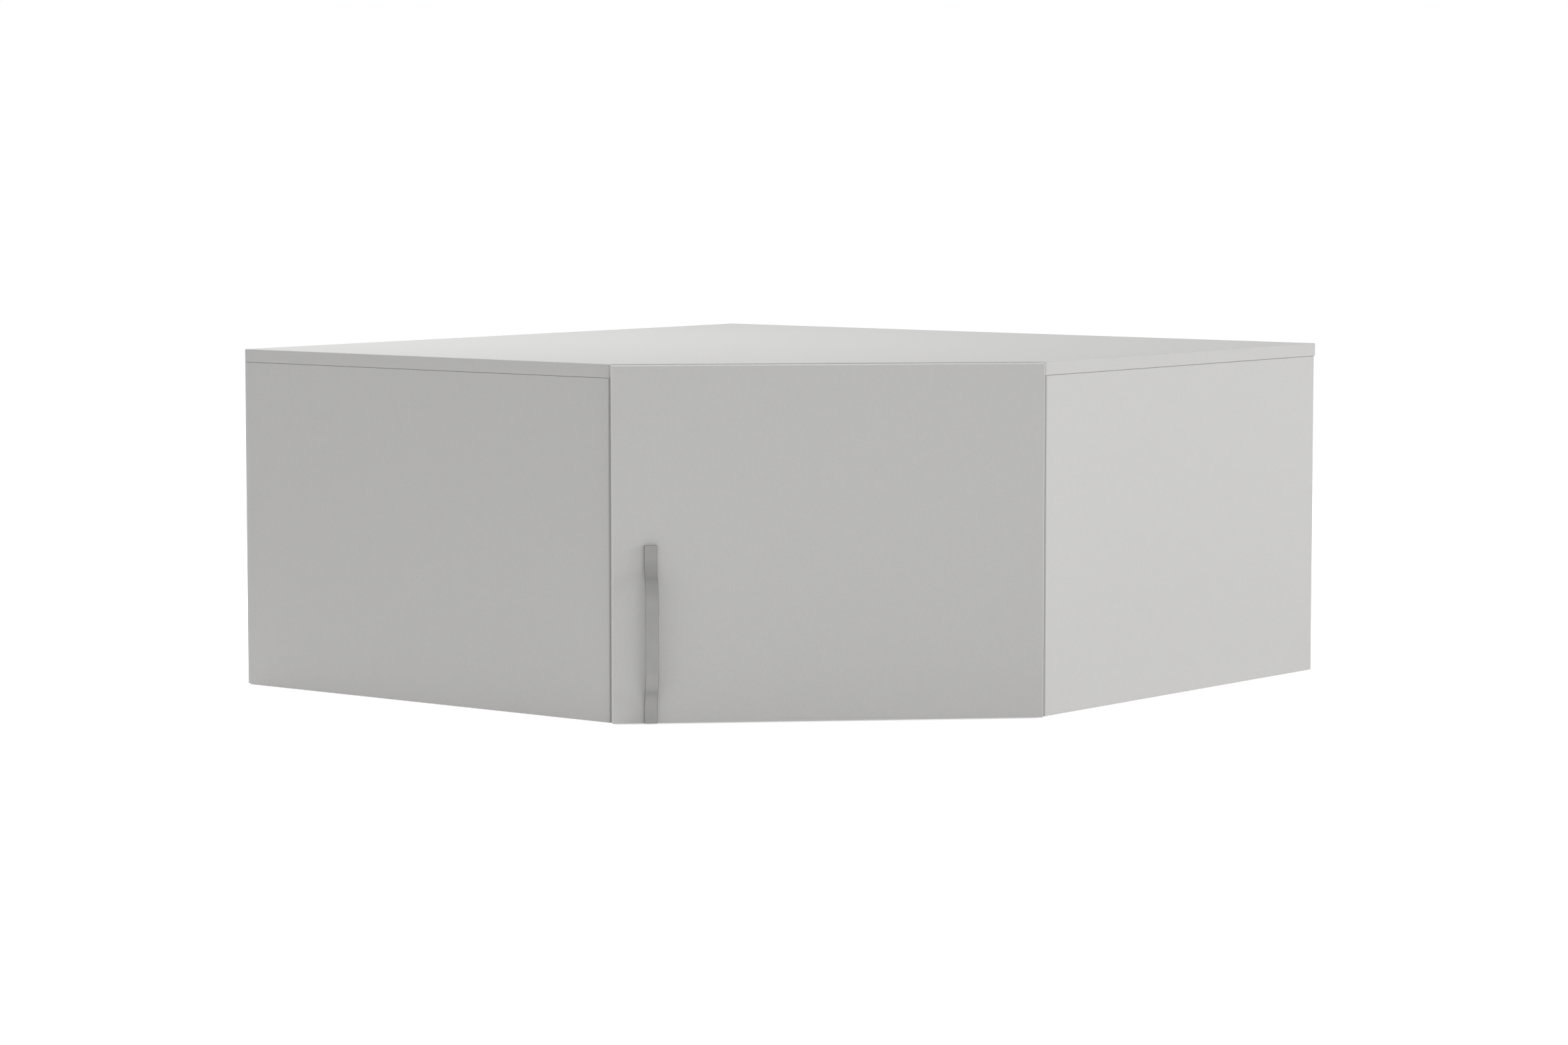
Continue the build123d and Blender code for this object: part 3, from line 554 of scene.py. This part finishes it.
# Hinge plates and arms
# Die-cast plates on the right side carry the cranked arms, pressed from thick nickel-plated steel.
# Two short screws fix each plate to the board, and two more clamp the arm to its plate.
PLATE_SCREW_LINE = 0.037              # along the side, from its front edge
PLATE_SCREW_STEP = 0.016              # above and below the hinge's middle
PLATE_WING = 0.0025                   # thickness under the screws' heads
ARM_SCREW_LINES = (0.026, 0.054)      # along the side, from its front edge
ARM_TOP = 0.011309                    # above the side's inner face
nickel = plated("nickel plating", ((0.56, 0.53, 0.49), (0.66, 0.63, 0.58)), 0.20, 0.32, cloud=0.006)
hinge_heights = []
for place in ("lower", "upper"):
    dress(f"{place}_hinge_plate", nickel)
    dress(f"{place}_hinge_arm", nickel)
    plate_low, plate_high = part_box(f"{place}_hinge_plate")
    hinge_heights.append((plate_low.z + plate_high.z) / 2)

# The right side's inner corner at the front lies where the bottom's edging ends.
edging_low, edging_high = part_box("bottom_edge_banding")
side_tip = (edging_high.x - (edging_high.y - edging_low.y), edging_low.y)
# From that corner, X runs back along the side, Y runs down, and Z stands out from the inner face.
hinge_side = Matrix((
    (slant, 0.0, -slant, side_tip[0]),
    (slant, 0.0, slant, side_tip[1]),
    (0.0, -1.0, 0.0, 0.0),
    (0.0, 0.0, 0.0, 1.0),
))
plate_places, arm_places = [], []
for height in hinge_heights:
    for step in (-PLATE_SCREW_STEP, PLATE_SCREW_STEP):
        plate_places.append(hinge_side @ Matrix.Translation((PLATE_SCREW_LINE, step - height, PLATE_WING)))
    for along_arm in ARM_SCREW_LINES:
        arm_places.append(hinge_side @ Matrix.Translation((along_arm, -height, ARM_TOP)))
plate_screw = cross_screw(head=0.0045, shank=0.0025, length=0.0135, pan=0.002, pitch=0.0022)
fit(
    "hinge_plate_screws_threaded", copied(plate_screw, plate_places), nickel,
    "carcass", "zinc_screws", "hinge_plate_screws"
)
arm_screw = cross_screw(head=0.0036, shank=0.002, length=0.008, pan=0.002, pitch=0.001)
fit(
    "hinge_arm_screws_threaded", copied(arm_screw, arm_places), nickel,
    "carcass", "zinc_screws", "hinge_arm_screws"
)


# Door
# One upright board of the same coated chipboard, edged all round, that covers the front of the carcass.
# Its back is bored for the two hinge cups, and two holes go through it for the handle.
DOOR_FLAKE = (0.004, 0.0012, 0.004)
dress("door_panel", coated_board("door board", (0.0, 1.0, 0.0), DOOR_FLAKE))
# The door edging's lighter grey is a painted highlight along the door's edges.
dress("door_edge_banding", plastic("door edging in painted highlight", (0.66, 0.657, 0.645), (0.69, 0.687, 0.675)))


# Hinge cups, pins and springs
# Nickel-plated cups of 35 mm sit in the door's back on a flange with two countersunk screws.
# A steel pin held in each cup goes through the arm's eye, and a leaf spring lies on the cup's floor.
CUP_SCREW_STEP = 0.024                # above and below the hinge's middle
BACKWARDS = (0, 1, 0)
OILED_GREYS = ((0.20, 0.20, 0.22), (0.32, 0.32, 0.34))
spring_steel = plated("oiled spring steel", OILED_GREYS, 0.26, 0.40, cloud=0.003)
for place in ("lower", "upper"):
    dress(f"{place}_hinge_cup", nickel)
    dress(f"{place}_hinge_pin", zinc_plate)
    dress(f"{place}_hinge_spring", spring_steel)
screws_low, screws_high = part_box("hinge_cup_screws")
cup_screw_x = (screws_low.x + screws_high.x) / 2
cup_screw_places = [
    aim((cup_screw_x, screws_high.y, height + step), BACKWARDS)
    for height in hinge_heights for step in (-CUP_SCREW_STEP, CUP_SCREW_STEP)
]
cup_screw = cross_screw(head=0.00305, shank=0.00175, length=0.012, pitch=0.0015)
fit(
    "hinge_cup_screws_threaded", copied(cup_screw, cup_screw_places), nickel,
    "door", "zinc_screws", "hinge_cup_screws"
)


# Handle
# A flat bar of 15 by 6 mm, bent out from two feet to a straight bow, with a satin grey metallic finish.
# Two screws hold its feet from behind the door.
HANDLE_SCREW_END = 0.007              # from each end of the bar
BRUSH_LINE = (0.0004, 0.0004, 0.02)
SATIN_CLOUD = (0.03, 0.03, 0.03)
SATIN_GREYS = ((0.296, 0.294, 0.288), (0.316, 0.314, 0.308))
BRUSH_RELIEF = 0.000012
satin_metal, tree, surface, coords = new_finish("satin grey metal")
brushed = grain(tree, coords, BRUSH_LINE)
tree.links.new(tint(tree, grain(tree, coords, SATIN_CLOUD), *SATIN_GREYS), surface.inputs["Base Color"])
tree.links.new(span(tree, brushed, 0.46, 0.56), surface.inputs["Roughness"])
emboss(tree, surface, brushed, BRUSH_RELIEF)
surface.inputs["Metallic"].default_value = 0.8
dress("handle", satin_metal)

door_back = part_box("door_panel")[1].y
bar_low, bar_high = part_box("handle")
handle_screw_places = [
    aim(((bar_low.x + bar_high.x) / 2, door_back, height), BACKWARDS)
    for height in (bar_low.z + HANDLE_SCREW_END, bar_high.z - HANDLE_SCREW_END)
]
handle_screw = cross_screw(head=0.004, shank=0.002, length=0.0205, pitch=0.0008)
fit(
    "handle_screws_threaded", copied(handle_screw, handle_screw_places), zinc_plate,
    "door", "zinc_screws", "handle_screws"
)


# Bumpers
# Clear soft plastic domes of 8 mm with a sticky back.
# They are stuck to the door's back, where it meets the top and the bottom.
BUMPER_INSET = 0.012                  # from the door's free edge
BUMPER_PROFILE = (
    (0.0, 0.0), (0.0040, 0.0), (0.0040, 0.0008), (0.0037, 0.0016), (0.0031, 0.0023), (0.0021, 0.0027),
    (0.0, 0.0029),
)
HAZE = (0.0015, 0.0015, 0.0015)
HAZE_GREYS = ((0.70, 0.71, 0.70), (0.78, 0.79, 0.78))
bumper_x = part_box("door_edge_banding")[0].x + BUMPER_INSET
bumper_places = [
    aim((bumper_x, door_back, height), BACKWARDS) for height in (board / 2, under_top + board / 2)
]
clear_soft, tree, surface, coords = new_finish("clear soft plastic")
haze = grain(tree, coords, HAZE, detail=2.0)
tree.links.new(tint(tree, haze, *HAZE_GREYS), surface.inputs["Base Color"])
tree.links.new(span(tree, haze, 0.18, 0.30), surface.inputs["Roughness"])
surface.inputs["Transmission Weight"].default_value = 0.6
surface.inputs["IOR"].default_value = 1.45
fit(
    "door_bumper_domes", copied(turned(BUMPER_PROFILE), bumper_places), clear_soft,
    "door", "bumper_rubber", "door_bumpers"
)


# Floor, light and camera
# A plain white studio floor under a white surround, with soft lamps on the right, in front and above.
# The camera stands where the photograph was taken from.
FLOOR_REACH = 30.0
FLOOR_DROP = 0.0006                   # just below the underside
FLOOR_GLOW = 0.7                      # only where it is seen, also in metal and clear plastic
HORIZON, ZENITH = 0.90, 0.10          # light of the surround on the cabinet
LAMPS = (
    ("right lamp", (7.50, -1.90, 2.00), 4.0, 230.0),      # name, place, width and power
    ("front lamp", (0.10, -2.40, 0.62), 1.2, 3.7),
    ("top lamp", (-0.90, 0.20, 2.00), 1.0, 20.2),
)
LAMP_TARGET = (0.0, 0.0, 0.2)
CAMERA_PLACE = (-0.63804, -5.64584, 0.67722)
CAMERA_DIP = 0.08678                  # below level, in radians
CAMERA_TURN = 0.11433                 # to the right
FOCAL_LENGTH = 102.28
SEEN_BY = ("Is Camera Ray", "Is Glossy Ray", "Is Transmission Ray")

floor_shape = bmesh.new()
bmesh.ops.create_grid(floor_shape, x_segments=1, y_segments=1, size=FLOOR_REACH)
bmesh.ops.translate(floor_shape, vec=(0, 0, -FLOOR_DROP), verts=floor_shape.verts[:])
floor_mesh = bpy.data.meshes.new("studio_floor")
floor_shape.to_mesh(floor_mesh)
floor_shape.free()
studio_floor = bpy.data.objects.new("studio_floor", floor_mesh)
bpy.context.scene.collection.objects.link(studio_floor)
floor_paint = bpy.data.materials.new("white floor")
floor_paint.use_nodes = True
tree = floor_paint.node_tree
surface = tree.nodes["Principled BSDF"]
surface.inputs["Base Color"].default_value = (0.95, 0.95, 0.95, 1.0)
surface.inputs["Roughness"].default_value = 0.9
surface.inputs["Specular IOR Level"].default_value = 0.0
surface.inputs["Emission Color"].default_value = (1.0, 1.0, 1.0, 1.0)
rays = tree.nodes.new("ShaderNodeLightPath")
seen = rays.outputs[SEEN_BY[0]]
for ray in SEEN_BY[1:]:
    either = tree.nodes.new("ShaderNodeMath")
    either.operation = "MAXIMUM"
    tree.links.new(seen, either.inputs[0])
    tree.links.new(rays.outputs[ray], either.inputs[1])
    seen = either.outputs["Value"]
tree.links.new(span(tree, seen, 0.0, FLOOR_GLOW, 0.0, 1.0), surface.inputs["Emission Strength"])
floor_mesh.materials.append(floor_paint)

surround = bpy.data.worlds.new("white surround")
surround.use_nodes = True
tree = surround.node_tree
tree.nodes["Background"].inputs["Color"].default_value = (1.0, 1.0, 1.0, 1.0)
rays = tree.nodes.new("ShaderNodeLightPath")
way = tree.nodes.new("ShaderNodeTexCoord")
heights = tree.nodes.new("ShaderNodeSeparateXYZ")
tree.links.new(way.outputs["Generated"], heights.inputs["Vector"])
strength = span(tree, heights.outputs["Z"], HORIZON, ZENITH, 0.0, 1.0)
white = tree.nodes.new("ShaderNodeValue")
white.outputs["Value"].default_value = 1.0
for ray in SEEN_BY:
    strength = choose(tree, rays.outputs[ray], strength, white.outputs["Value"], "FLOAT")
tree.links.new(strength, tree.nodes["Background"].inputs["Strength"])
bpy.context.scene.world = surround

for name, place, width, power in LAMPS:
    lamp = bpy.data.lights.new(name, "AREA")
    lamp.shape = "SQUARE"
    lamp.size = width
    lamp.energy = power
    soft_lamp = bpy.data.objects.new(name, lamp)
    soft_lamp.matrix_world = aim(place, Vector(place) - Vector(LAMP_TARGET))
    soft_lamp.visible_camera = False
    soft_lamp.visible_glossy = False
    bpy.context.scene.collection.objects.link(soft_lamp)

lens = bpy.data.cameras.new("photo camera")
lens.sensor_fit = "HORIZONTAL"
lens.sensor_width = 36.0
lens.lens = FOCAL_LENGTH
lens.clip_end = 100.0
photo_camera = bpy.data.objects.new("photo camera", lens)
photo_camera.location = CAMERA_PLACE
photo_camera.rotation_euler = (math.pi / 2 - CAMERA_DIP, 0.0, -CAMERA_TURN)
bpy.context.scene.collection.objects.link(photo_camera)
bpy.context.scene.camera = photo_camera
bpy.context.scene.view_settings.view_transform = "Standard"
